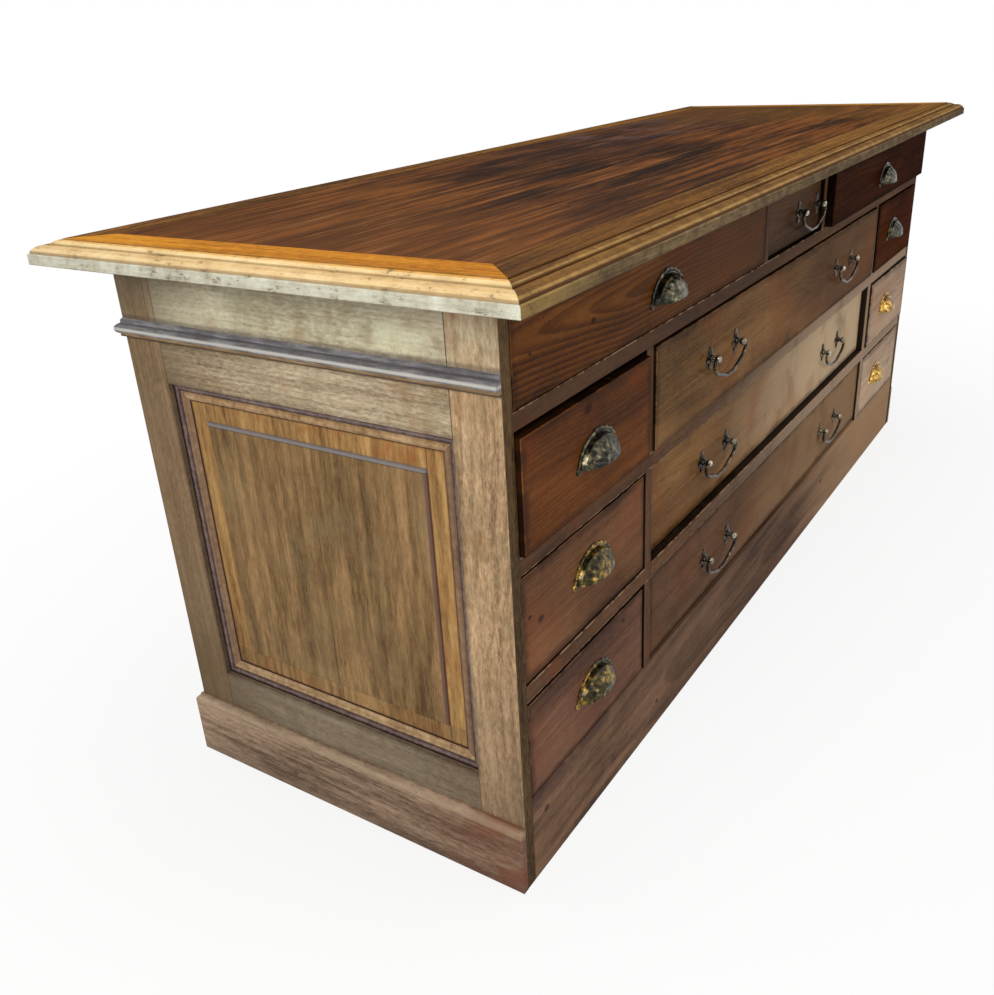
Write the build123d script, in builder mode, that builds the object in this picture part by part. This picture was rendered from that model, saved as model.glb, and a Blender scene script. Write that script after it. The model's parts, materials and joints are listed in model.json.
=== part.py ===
"""Shop counter with twelve drawers: a panelled softwood carcass under a moulded, mitred top.

Frame: +X runs along the counter to the right-hand end, -Y faces the person who uses the drawers,
+Z is up. The origin is on the floor, under the middle of the top. All sizes are in millimetres.
"""
import os

from build123d import *

os.makedirs("parts", exist_ok=True)

# ---------------------------------------------------------------- driving dimensions: the carcass
length = 2130.0              # over the two end frames
depth = 670.0                # from the drawer side's face to the public side's face

top_thickness = 32.0
overhang = 85.0              # of the top, at the ends and over the drawers
back_overhang = 65.0         # of the top, on the public side
border_width = 92.0          # mitred boards round the top
plank_count = 5              # boards of the top inside the border

end_thickness = 22.0         # end frames, whose front edges are the outer stiles of the drawer side
stile_width = 75.0           # uprights of the end frames
frieze_height = 184.0        # upper rails of the ends and of the public side
lower_rail_height = 184.0
back_thickness = 22.0
back_panel_count = 4
back_stile_width = 88.0

face_thickness = 22.0        # rails and stiles between the drawers
head_rail_height = 30.0
row_heights = (116.0, 170.0, 171.0, 168.0)   # openings, from the top row down
rail_heights = (25.0, 27.0, 27.0)            # under the top row, row one and row two
plinth_face_height = 152.0   # plain board under the drawers
column_stile_width = 22.0
left_column_width = 369.0    # opening of the left-hand drawers
right_column_width = 380.0   # opening of the right-hand drawers
top_stile_width = 20.0
top_left_width = 866.0       # opening of the long drawer at the top left
top_middle_width = 332.0     # opening of the short drawer beside it
dust_board = 18.0            # boards that the drawers run on

# ---------------------------------------------------------------- driving dimensions: mouldings
panel_depth = 15.0           # a panel's margin lies this far behind the frame's face
margin_width = 30.0          # between the panel's moulding and the raised field
field_step = 4.5             # rise of the field, whose edge is a quarter round
panel_moulding_width = 26.0
moulding_set_back = 8.0      # the panel's moulding, behind the frame's face
bead_drop = 118.0            # lower edge of the bead across the frieze, below the top
bead_height = 27.0
bead_projection = 11.0
skirting_height = 117.0      # moulded plinth on the ends and the public side
skirting_thickness = 11.0

# ---------------------------------------------------------------- driving dimensions: the drawers
front_thickness = 22.0
front_rounding = 1.5
drawer_end_room = 48.0       # behind a drawer whose face is flush
side_thickness = 12.0
bottom_thickness = 6.0
bottom_lift = 8.0            # the bottom's underside, above the sides' lower edges
box_side_clearance = 2.0     # between a box and what it runs between
box_top_clearance = 18.0
running_clearance = 0.3      # under the sides

# ---------------------------------------------------------------- driving dimensions: the brasses
cup_width = 100.0
cup_height = 36.0
cup_projection = 25.0
cup_wall = 2.5
flange_width = 8.0
flange_thickness = 2.0
cup_screw_radius = 3.2

bail_spacing = 116.0         # between the two posts
bail_drop = 40.0
bail_radius = 3.0
bail_flare = 9.5             # the bail stands out past its posts
pin_radius = 2.0
pin_clearance = 0.05
post_radius = 3.6
post_reach = 15.0            # pivot, in front of the drawer's face
knob_radius = 5.6
shank_radius = 3.0
shank_hole_clearance = 0.2
nut_size = 11.0
nut_thickness = 3.5
rose_height = 42.0
rose_width = 34.0
rose_thickness = 2.4

# ---------------------------------------------------------------- places that follow from these
left_face = -length / 2
right_face = length / 2
front_face = -(depth + back_overhang - overhang) / 2
back_face = front_face + depth
drawer_length = depth - back_thickness - drawer_end_room
inner_left = left_face + end_thickness
inner_right = right_face - end_thickness
face_back = front_face + face_thickness
back_inner = back_face - back_thickness

# Upper faces of what each row of drawers stands on, from the top row down to the plinth
row_tops = [plinth_face_height]
for row_height, rail_height in zip(row_heights[:0:-1], rail_heights[::-1]):
    row_tops.insert(0, row_tops[0] + row_height + rail_height)
rail_bottoms = [top - tall for top, tall in zip(row_tops, rail_heights)]
head_rail_bottom = row_tops[0] + row_heights[0]
under_top = head_rail_bottom + head_rail_height
height = under_top + top_thickness
panel_rail_top = under_top - frieze_height
bead_bottom = under_top - bead_drop

left_stile = inner_left + left_column_width                     # left edge of the stile
right_stile = inner_right - right_column_width - column_stile_width
top_stile_a = inner_left + top_left_width
top_stile_b = top_stile_a + top_stile_width + top_middle_width

# Openings of the drawer side: name -> (left, right, bottom, top)
row_ceilings = (head_rail_bottom, *rail_bottoms)
columns = {
    "left": (inner_left, left_stile),
    "centre": (left_stile + column_stile_width, right_stile),
    "right": (right_stile + column_stile_width, inner_right),
}
openings = {
    "top_left": (inner_left, top_stile_a, row_tops[0], row_ceilings[0]),
    "top_middle": (top_stile_a + top_stile_width, top_stile_b, row_tops[0], row_ceilings[0]),
    "top_right": (top_stile_b + top_stile_width, inner_right, row_tops[0], row_ceilings[0]),
}
for row in (1, 2, 3):
    for column, (low, high) in columns.items():
        openings[f"{column}_{row}"] = (low, high, row_tops[row], row_ceilings[row])

# How each drawer sits in its opening after a century of wear: how far its face stands proud of the
# rails, then the gaps round its front at the left, right, bottom and top.
seats = {
    "top_left": (0.0, 2.5, 1.5, 1.5, 3.0),
    "top_middle": (-7.0, 3.0, 2.5, 3.0, 3.0),
    "top_right": (17.0, 2.5, 2.5, 2.0, 3.0),
    "left_1": (8.0, 2.0, 3.0, 1.5, 8.0),
    "left_2": (-2.0, 2.5, 3.5, 2.5, 6.0),
    "left_3": (-2.0, 4.5, 5.0, 1.5, 9.0),
    "centre_1": (4.5, 3.0, 2.0, 0.8, 2.5),
    "centre_2": (-14.0, 2.5, 3.0, 3.5, 2.0),
    "centre_3": (-4.5, 8.5, 2.5, 6.5, 2.5),
    "right_1": (5.0, 2.5, 2.5, 1.5, 2.5),
    "right_2": (6.0, 2.5, 2.5, 1.5, 4.0),
    "right_3": (0.0, 2.5, 5.0, 2.0, 6.0),
}
# Where the cup pulls are screwed on: to the right of the opening's middle, as a part of its width,
# and above the opening's middle
cup_places = {
    "top_left": (0.0035, 1.0), "top_right": (0.001, 1.0),
    "left_1": (0.0257, 3.0), "left_2": (0.0257, 19.0), "left_3": (0.0257, 10.0),
    "right_1": (-0.1, 8.0), "right_2": (-0.1, 8.0), "right_3": (-0.1, 8.0),
}
# The bails' posts, in the same way
bail_places = {
    "top_middle": (0.0, 0.244),
    "centre_1": (5.0, -0.2896, 0.2804),
    "centre_2": (0.0, -0.2695, 0.2935),
    "centre_3": (0.0, -0.268, 0.2943),
}


# ---------------------------------------------------------------- shared ways of making a piece
def board(x_low, x_high, y_low, y_high, z_low, z_high):
    """A plain rectangular board."""
    with BuildPart() as piece:
        with BuildSketch(Plane.XY.offset(z_low)):
            with Locations(((x_low + x_high) / 2, (y_low + y_high) / 2)):
                Rectangle(x_high - x_low, y_high - y_low)
        extrude(amount=z_high - z_low)
    return piece.part


def keep(label, *pieces):
    """Writes one sub-part, whose separate solids keep their own joints."""
    solids = [solid for piece in pieces for solid in piece.solids()]
    node = solids[0] if len(solids) == 1 else Compound(solids)
    node.label = label
    export_step(node, f"parts/{label}.step")


def mitred_strip(face, width, high, side, outline, reach, square_at=()):
    """One side of a moulding round a width x high rectangle on the plane face.

    side is the outward direction on that plane, outline draws the section (outward, off the face),
    and the ends are mitred, or cut square beside a side named in square_at.
    """
    out_x, out_y = side
    outward = face.x_dir * out_x + face.y_dir * out_y
    along = outward.cross(face.z_dir)
    half_out = (width if out_x else high) / 2
    half_along = (high if out_x else width) / 2
    middle = face.origin + outward * half_out
    with BuildPart() as strip:
        start = Plane(origin=middle - along * (half_along + reach), x_dir=outward, z_dir=along)
        with BuildSketch(start):
            add(outline)
        extrude(amount=2 * (half_along + reach))
        for way in (1, -1):
            corner = middle + along * (way * half_along)
            end_side = along * way
            local = (round(end_side.dot(face.x_dir)), round(end_side.dot(face.y_dir)))
            normal = end_side if local in square_at else end_side - outward
            split(bisect_by=Plane(origin=corner, z_dir=normal), keep=Keep.BOTTOM)
    return strip.part


def mitred_frame(face, width, high, outline, reach, left_out=()):
    """Mitred strips round a rectangle; a side in left_out is open, and its neighbours end square."""
    sides = [side for side in ((1, 0), (0, 1), (-1, 0), (0, -1)) if side not in left_out]
    return [mitred_strip(face, width, high, side, outline, reach, left_out) for side in sides]


# ---------------------------------------------------------------- the top
def top_edge_outline():
    """Section of a border board: flat, small step, ovolo, roll, quirk and a plain fascia."""
    fascia = top_thickness - 18
    with BuildSketch() as section:
        with BuildLine():
            Polyline((-border_width, 0), (0, 0), (0, fascia), (-3, fascia + 1.5), (-3, fascia + 3.5))
            ThreePointArc((-3, fascia + 3.5), (-9.5, top_thickness - 8.6), (-23, top_thickness - 7.5))
            Line((-23, top_thickness - 7.5), (-23, top_thickness - 6))
            ThreePointArc((-23, top_thickness - 6), (-28, top_thickness - 2.8),
                          (-37, top_thickness - 1.5))
            Polyline((-37, top_thickness - 1.5), (-37, top_thickness),
                     (-border_width, top_thickness), (-border_width, 0))
        make_face()
    return section.sketch


top_length = length + 2 * overhang
top_depth = depth + overhang + back_overhang
border = mitred_frame(Plane.XY.offset(under_top), top_length, top_depth, top_edge_outline(), 1.0)
keep("top_border", *border)

field_half_length = top_length / 2 - border_width
field_half_depth = top_depth / 2 - border_width
plank_width = 2 * field_half_depth / plank_count
planks = [
    board(-field_half_length, field_half_length,
          -field_half_depth + plank_width * row, -field_half_depth + plank_width * (row + 1),
          under_top, height)
    for row in range(plank_count)
]
keep("top_field", *planks)


# ---------------------------------------------------------------- panels and their mouldings
def panel_moulding_outline():
    """Section of the moulding inside a panel's opening; the opening's edge is at zero."""
    wide = panel_moulding_width
    seat = -panel_depth
    crown = -moulding_set_back
    fillet_top = seat + 1.8
    with BuildSketch() as section:
        with BuildLine():
            Polyline((0, seat), (0, crown), (-1.5, crown), (-1.5, crown - 0.6))
            ThreePointArc((-1.5, crown - 0.6), (-0.35 * wide, crown - 0.4),
                          (-0.58 * wide, fillet_top + 0.4))
            Line((-0.58 * wide, fillet_top + 0.4), (-0.62 * wide, fillet_top))
            ThreePointArc((-0.62 * wide, fillet_top), (-0.77 * wide, fillet_top + 2.2),
                          (-0.92 * wide, fillet_top))
            Polyline((-0.92 * wide, fillet_top), (-wide, fillet_top - 0.5), (-wide, seat), (0, seat))
        make_face()
    return section.sketch


def raised_panel(face, width, high, frame_thickness):
    """A panel that fills an opening: a flat margin round a field with a rounded edge."""
    margin = face.offset(-panel_depth)
    inner = (width - 2 * panel_moulding_width, high - 2 * panel_moulding_width)
    field = (inner[0] - 2 * margin_width, inner[1] - 2 * margin_width)
    with BuildPart() as panel:
        with BuildSketch(face.offset(-frame_thickness)):
            Rectangle(width, high)
        extrude(amount=frame_thickness - panel_depth)
        with BuildSketch(margin):
            Rectangle(*field)
        extrude(amount=field_step)
        field_face = panel.faces().sort_by(Axis(face.origin, face.z_dir))[-1]
        fillet(field_face.edges(), radius=0.9 * field_step)
    return panel.part


def panel_mouldings(face, width, high):
    """The four mitred strips round a panel."""
    return mitred_frame(face, width, high, panel_moulding_outline(), 0.0)


opening_height = panel_rail_top - lower_rail_height
opening_middle = (panel_rail_top + lower_rail_height) / 2
end_opening = depth - 2 * stile_width
end_middle = front_face + depth / 2


def end_frame(outer, inner):
    """Two uprights with a broad upper rail, which carries the frieze, and a lower rail."""
    low, high = min(outer, inner), max(outer, inner)
    near, far = front_face + stile_width, back_face - stile_width
    return (
        board(low, high, front_face, near, 0, under_top),
        board(low, high, far, back_face, 0, under_top),
        board(low, high, near, far, panel_rail_top, under_top),
        board(low, high, near, far, 0, lower_rail_height),
    )


left_plane = Plane(origin=(left_face, end_middle, opening_middle), x_dir=(0, -1, 0), z_dir=(-1, 0, 0))
right_plane = Plane(origin=(right_face, end_middle, opening_middle), x_dir=(0, 1, 0), z_dir=(1, 0, 0))
for name, face, outer, inner in (
    ("left", left_plane, left_face, inner_left),
    ("right", right_plane, right_face, inner_right),
):
    keep(f"{name}_end_frame", *end_frame(outer, inner))
    keep(f"{name}_end_panel", raised_panel(face, end_opening, opening_height, end_thickness))
    keep(f"{name}_panel_moulding", *panel_mouldings(face, end_opening, opening_height))

# ---------------------------------------------------------------- the public side
back_inside = inner_right - inner_left
back_opening = (back_inside - back_stile_width * (back_panel_count + 1)) / back_panel_count
back_boards = [
    board(inner_left, inner_right, back_inner, back_face, panel_rail_top, under_top),
    board(inner_left, inner_right, back_inner, back_face, 0, lower_rail_height),
]
back_panels = []
back_mouldings = []
for bay in range(back_panel_count + 1):
    stile_left = inner_left + bay * (back_stile_width + back_opening)
    back_boards.append(board(stile_left, stile_left + back_stile_width, back_inner, back_face,
                             lower_rail_height, panel_rail_top))
    if bay < back_panel_count:
        bay_middle = stile_left + back_stile_width + back_opening / 2
        bay_plane = Plane(origin=(bay_middle, back_face, opening_middle),
                          x_dir=(-1, 0, 0), z_dir=(0, 1, 0))
        back_panels.append(raised_panel(bay_plane, back_opening, opening_height,
                                        back_thickness))
        back_mouldings += panel_mouldings(bay_plane, back_opening, opening_height)
keep("back_frame", *back_boards)
keep("back_panels", *back_panels)
keep("back_panel_mouldings", *back_mouldings)


# ---------------------------------------------------------------- bead and skirting, three sides
def bead_outline():
    """Section of the bead: a small step, a round nose and a sloping top."""
    nose = bead_projection
    tall = bead_height
    with BuildSketch() as section:
        with BuildLine():
            Polyline((0, 0), (nose - 6, 0), (nose - 6, 0.15 * tall))
            ThreePointArc((nose - 6, 0.15 * tall), (nose, 0.41 * tall), (nose - 5, 0.69 * tall))
            Polyline((nose - 5, 0.69 * tall), (nose - 8, 0.75 * tall), (nose - 8, 0.89 * tall),
                     (0, tall), (0, 0))
        make_face()
    return section.sketch


def skirting_outline():
    """Section of the skirting: a plain face under a rounded edge and a small step."""
    thick = skirting_thickness
    tall = skirting_height
    with BuildSketch() as section:
        with BuildLine():
            Polyline((0, 0), (thick, 0), (thick, tall - 12))
            ThreePointArc((thick, tall - 12), (thick - 2.2, tall - 6.2), (thick - 7, tall - 3))
            Polyline((thick - 7, tall - 3), (thick - 7, tall), (0, tall), (0, 0))
        make_face()
    return section.sketch


drawer_side = (0, -1)
bead_plane = Plane(origin=(0, end_middle, bead_bottom))
floor_plane = Plane(origin=(0, end_middle, 0))
keep("frieze_bead", *mitred_frame(bead_plane, length, depth, bead_outline(), bead_projection + 1,
                                (drawer_side,)))
keep("skirting", *mitred_frame(floor_plane, length, depth, skirting_outline(),
                             skirting_thickness + 1, (drawer_side,)))

# ---------------------------------------------------------------- the drawer side's face frame
keep("plinth_face", board(inner_left, inner_right, front_face, face_back, 0, plinth_face_height))
face_boards = [
    board(inner_left, inner_right, front_face, face_back, head_rail_bottom, under_top),
    board(inner_left, inner_right, front_face, face_back, rail_bottoms[0], row_tops[0]),
]
for edge in (top_stile_a, top_stile_b):
    face_boards.append(board(edge, edge + top_stile_width, front_face, face_back,
                             row_tops[0], head_rail_bottom))
for edge in (left_stile, right_stile):
    face_boards.append(board(edge, edge + column_stile_width, front_face, face_back,
                             plinth_face_height, rail_bottoms[0]))
for low, high in columns.values():
    for rail_bottom, rail_top in zip(rail_bottoms[1:], row_tops[1:]):
        face_boards.append(board(low, high, front_face, face_back, rail_bottom, rail_top))
keep("face_frame", *face_boards)

# ---------------------------------------------------------------- inside the carcass
upper_dust_bottom = row_tops[0] - dust_board
partitions = [
    board(edge, edge + width, face_back, back_inner, bottom, top)
    for edge, width, bottom, top in (
        (left_stile, column_stile_width, row_tops[3], upper_dust_bottom),
        (right_stile, column_stile_width, row_tops[3], upper_dust_bottom),
        (top_stile_a, top_stile_width, row_tops[0], under_top),
        (top_stile_b, top_stile_width, row_tops[0], under_top),
    )
]
keep("partitions", *partitions)
dust_boards = [
    board(inner_left, inner_right, face_back, back_inner, top - dust_board, top)
    for top in (row_tops[0], row_tops[3])
]
for low, high in columns.values():
    for top in row_tops[1:3]:
        dust_boards.append(board(low, high, face_back, back_inner, top - dust_board, top))
keep("dust_boards", *dust_boards)


# ---------------------------------------------------------------- the brasses
def cup_pull(x_middle, y_face, z_lip):
    """A hood open underneath, on a flange against the drawer's face, with two round-headed screws."""
    half = cup_width / 2
    with BuildPart() as pull:
        Sphere(1.0)
        scale(by=(half, cup_projection, cup_height))
        with BuildPart(mode=Mode.PRIVATE) as hollow:
            Sphere(1.0)
            scale(by=(half - cup_wall, cup_projection - cup_wall, cup_height - cup_wall))
        add(hollow.part, mode=Mode.SUBTRACT)
        split(bisect_by=Plane.XZ, keep=Keep.TOP)
        split(bisect_by=Plane.XY, keep=Keep.TOP)
        with BuildSketch(Plane.XZ) as flange:
            Ellipse(half + flange_width, cup_height + flange_width)
            Ellipse(half - cup_wall, cup_height - cup_wall, mode=Mode.SUBTRACT)
            with Locations((0, -cup_height)):
                Rectangle(4 * half, 2 * cup_height, mode=Mode.SUBTRACT)
            with Locations((half + flange_width / 2, 0), (-half - flange_width / 2, 0)):
                Circle(flange_width / 2 + 1.5)
            with Locations((0, 0)):
                Ellipse(half - cup_wall, cup_height - cup_wall, mode=Mode.SUBTRACT)
        extrude(amount=flange_thickness)
    place = Location((x_middle, y_face, z_lip))
    screws = []
    for way in (-1, 1):
        head_plane = Plane(origin=(x_middle + way * (half + flange_width / 2), y_face - flange_thickness,
                                   z_lip), z_dir=(0, -1, 0))
        with BuildPart() as screw:
            with BuildSketch(head_plane):
                Circle(cup_screw_radius)
            extrude(amount=1.0, taper=20)
        screws.append(screw.part)
    return pull.part.moved(place), screws


def rose_outline():
    """A four-pointed plate with hollow sides and a round middle."""
    tip_x, tip_z, waist = rose_width / 2, rose_height / 2, rose_width * 0.18
    with BuildSketch() as plate:
        with BuildLine():
            ThreePointArc((tip_x, 0), (waist, waist), (0, tip_z))
            ThreePointArc((0, tip_z), (-waist, waist), (-tip_x, 0))
            ThreePointArc((-tip_x, 0), (-waist, -waist), (0, -tip_z))
            ThreePointArc((0, -tip_z), (waist, -waist), (tip_x, 0))
        make_face()
        Circle(rose_width * 0.31)
        Circle(shank_radius, mode=Mode.SUBTRACT)
    return plate.sketch


def bail_post(x_post, y_face, z_post):
    """Rose, round post with its pierced knob, shank through the front, and a square nut inside."""
    face = Plane(origin=(x_post, y_face, z_post), x_dir=(1, 0, 0), z_dir=(0, -1, 0))
    with BuildPart() as rose:
        with BuildSketch(face):
            add(rose_outline())
        extrude(amount=rose_thickness)
    with BuildPart() as post:
        with BuildSketch(face.offset(rose_thickness)):
            Circle(post_radius)
        extrude(amount=post_reach - rose_thickness)
        with BuildSketch(face.offset(rose_thickness)):
            Circle(shank_radius)
        extrude(amount=-(rose_thickness + front_thickness + nut_thickness))
        with Locations((x_post, y_face - post_reach, z_post)):
            Sphere(knob_radius)
        with Locations(Plane(origin=(x_post, y_face - post_reach, z_post), z_dir=(1, 0, 0))):
            Cylinder(pin_radius + pin_clearance, 4 * knob_radius, mode=Mode.SUBTRACT)
    with BuildPart() as nut:
        with BuildSketch(face.offset(-front_thickness)):
            Rectangle(nut_size, nut_size)
            Circle(shank_radius, mode=Mode.SUBTRACT)
        extrude(amount=-nut_thickness)
    return rose.part, post.part, nut.part


def bail(x_middle, y_face, z_post):
    """A bent rod that hangs below its posts, and two thinner pins that turn in the posts' knobs."""
    y_pivot = y_face - post_reach
    half = bail_spacing / 2
    elbow = half + bail_flare
    pin_inner, pin_outer = half - knob_radius, elbow - bail_radius
    shape = (
        (pin_outer, 0), (elbow + bail_radius, 0), (elbow + bail_radius, -bail_drop * 0.5),
        (half * 0.68, -bail_drop * 0.78), (half * 0.34, -bail_drop),
    )
    points = [Vector(x_middle - x, y_pivot, z_post + z) for x, z in shape]
    points += [Vector(x_middle + x, y_pivot, z_post + z) for x, z in reversed(shape)]
    with BuildPart() as rod:
        with BuildLine() as path:
            FilletPolyline(*points, radius=5.0)
        with BuildSketch(Plane(origin=points[0], z_dir=(-1, 0, 0))):
            Circle(bail_radius)
        sweep(path=path.line)
        for way in (-1, 1):
            with BuildSketch(Plane(origin=(x_middle + way * pin_inner, y_pivot, z_post),
                                   z_dir=(way, 0, 0))):
                Circle(pin_radius)
            extrude(amount=elbow - pin_inner)
    return rod.part


# ---------------------------------------------------------------- the drawers
def drawer_front(x_low, x_high, face_y, z_low, z_high, posts):
    """The front board, with its edges eased and a hole for each post's shank."""
    with BuildPart() as front:
        with BuildSketch(Plane.XY.offset(z_low)):
            with Locations(((x_low + x_high) / 2, face_y + front_thickness / 2)):
                Rectangle(x_high - x_low, front_thickness)
        extrude(amount=z_high - z_low)
        fillet(front.faces().sort_by(Axis.Y)[0].edges(), radius=front_rounding)
        for x_post, z_post in posts:
            with Locations(Plane(origin=(x_post, face_y + front_thickness / 2, z_post),
                                 z_dir=(0, 1, 0))):
                Cylinder(shank_radius + shank_hole_clearance, 2 * front_thickness,
                         mode=Mode.SUBTRACT)
    return front.part


def drawer_box(x_low, x_high, face_y, z_floor, z_top):
    """Two sides, a back and a bottom behind the front."""
    start = face_y + front_thickness
    end = face_y + drawer_length
    inside_low, inside_high = x_low + side_thickness, x_high - side_thickness
    bottom_low = z_floor + bottom_lift
    bottom_high = bottom_low + bottom_thickness
    return (
        board(x_low, inside_low, start, end, z_floor, z_top),
        board(inside_high, x_high, start, end, z_floor, z_top),
        board(inside_low, inside_high, start, end, bottom_low, bottom_high),
        board(inside_low, inside_high, end - side_thickness, end, bottom_high, z_top),
    )


for name, (left, right, bottom, top) in openings.items():
    proud, gap_left, gap_right, gap_bottom, gap_top = seats[name]
    face_y = front_face - proud
    x_middle = (left + right) / 2
    z_middle = (bottom + top) / 2
    bail_rise, *bail_parts = bail_places.get(name, (0.0,))
    post_height = z_middle + bail_rise
    pairs = [x_middle + part * (right - left) for part in bail_parts]
    posts = [(x + way * bail_spacing / 2, post_height) for x in pairs for way in (-1, 1)]
    keep(f"front_{name}", drawer_front(left + gap_left, right - gap_right, face_y,
                                       bottom + gap_bottom, top - gap_top, posts))
    keep(f"box_{name}", *drawer_box(left + box_side_clearance, right - box_side_clearance, face_y,
                                    bottom + running_clearance, top - box_top_clearance))
    if name in cup_places:
        part, rise = cup_places[name]
        lip = z_middle + rise - (cup_height + flange_width) / 2
        cup, screws = cup_pull(x_middle + part * (right - left), face_y, lip)
        keep(f"cup_pull_{name}", cup, *screws)
    if pairs:
        fixings = [piece for x, z in posts for piece in bail_post(x, face_y, z)]
        keep(f"bail_posts_{name}", *fixings)
    for letter, x in zip("ab", pairs):
        suffix = f"_{letter}" if len(pairs) > 1 else ""
        keep(f"bail_{name}{suffix}", bail(x, face_y, post_height))
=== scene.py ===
"""A panelled shop counter with twelve drawers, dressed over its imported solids: worn, varnished
softwood, a top of dark boards in an amber border, embossed cup pulls and swan-neck bails.
"""
import json
import math

import bmesh
import bpy
from mathutils import Matrix, Vector


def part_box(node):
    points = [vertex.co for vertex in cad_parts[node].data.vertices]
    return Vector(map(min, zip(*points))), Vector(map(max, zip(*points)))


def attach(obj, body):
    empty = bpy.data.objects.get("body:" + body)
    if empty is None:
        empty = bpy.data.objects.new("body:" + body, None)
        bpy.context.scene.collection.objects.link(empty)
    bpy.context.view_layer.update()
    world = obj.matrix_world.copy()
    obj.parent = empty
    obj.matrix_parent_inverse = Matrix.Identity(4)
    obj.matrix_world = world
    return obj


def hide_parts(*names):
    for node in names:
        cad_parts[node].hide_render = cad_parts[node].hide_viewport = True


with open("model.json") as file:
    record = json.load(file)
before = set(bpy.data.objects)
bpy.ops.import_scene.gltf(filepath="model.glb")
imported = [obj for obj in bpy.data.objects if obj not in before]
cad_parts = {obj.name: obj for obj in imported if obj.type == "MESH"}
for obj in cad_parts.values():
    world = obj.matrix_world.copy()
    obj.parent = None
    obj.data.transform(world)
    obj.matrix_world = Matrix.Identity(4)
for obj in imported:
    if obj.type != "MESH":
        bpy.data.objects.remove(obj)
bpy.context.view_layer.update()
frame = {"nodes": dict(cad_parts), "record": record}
nodes = frame["nodes"]
bodies = frame["record"]["behaviour"]["bodies"]
body_of = {node: body for body, parts in bodies.items() for node in parts}
pivots = {joint["child"]: Vector(joint["pos_m"]) for joint in frame["record"]["behaviour"]["joints"]
          if joint["type"] == "hinge"}


# ---- shader maths
def srgb(r, g, b):
    """A colour as seen on a screen, 0 to 255, as the linear one that shaders take."""
    return tuple(v / 3294.6 if v <= 10 else ((v / 255 + 0.055) / 1.055) ** 2.4 for v in (r, g, b)) + (1.0,)


def tinted(colour, k):
    """A lighter or darker copy of a screen colour."""
    return tuple(max(0.0, min(255.0, v * k)) for v in colour)


class Wire:
    """A socket whose arithmetic adds Math nodes."""

    def __init__(self, finish, socket):
        self.finish, self.socket = finish, socket

    def _op(self, operation, *values):
        return self.finish.node("ShaderNodeMath", {"operation": operation}, dict(enumerate(values)))

    def __add__(self, o): return self._op("ADD", self, o)
    def __radd__(self, o): return self._op("ADD", o, self)
    def __sub__(self, o): return self._op("SUBTRACT", self, o)
    def __rsub__(self, o): return self._op("SUBTRACT", o, self)
    def __mul__(self, o): return self._op("MULTIPLY", self, o)
    def __rmul__(self, o): return self._op("MULTIPLY", o, self)
    def __truediv__(self, o): return self._op("DIVIDE", self, o)
    def __gt__(self, o): return self._op("GREATER_THAN", self, o)
    def __lt__(self, o): return self._op("LESS_THAN", self, o)
    def abs(self): return self._op("ABSOLUTE", self)
    def floor(self): return self._op("FLOOR", self)
    def fract(self): return self._op("FRACT", self)
    def sqrt(self): return self._op("SQRT", self)
    def least(self, o): return self._op("MINIMUM", self, o)
    def most(self, o): return self._op("MAXIMUM", self, o)

    def step(self, low, high):
        """0 at low and 1 at high, eased between them; low may be the higher."""
        return self.finish.node("ShaderNodeMapRange", {"interpolation_type": "SMOOTHSTEP"},
                                {0: self, 1: low, 2: high, 3: 0.0, 4: 1.0})


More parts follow.
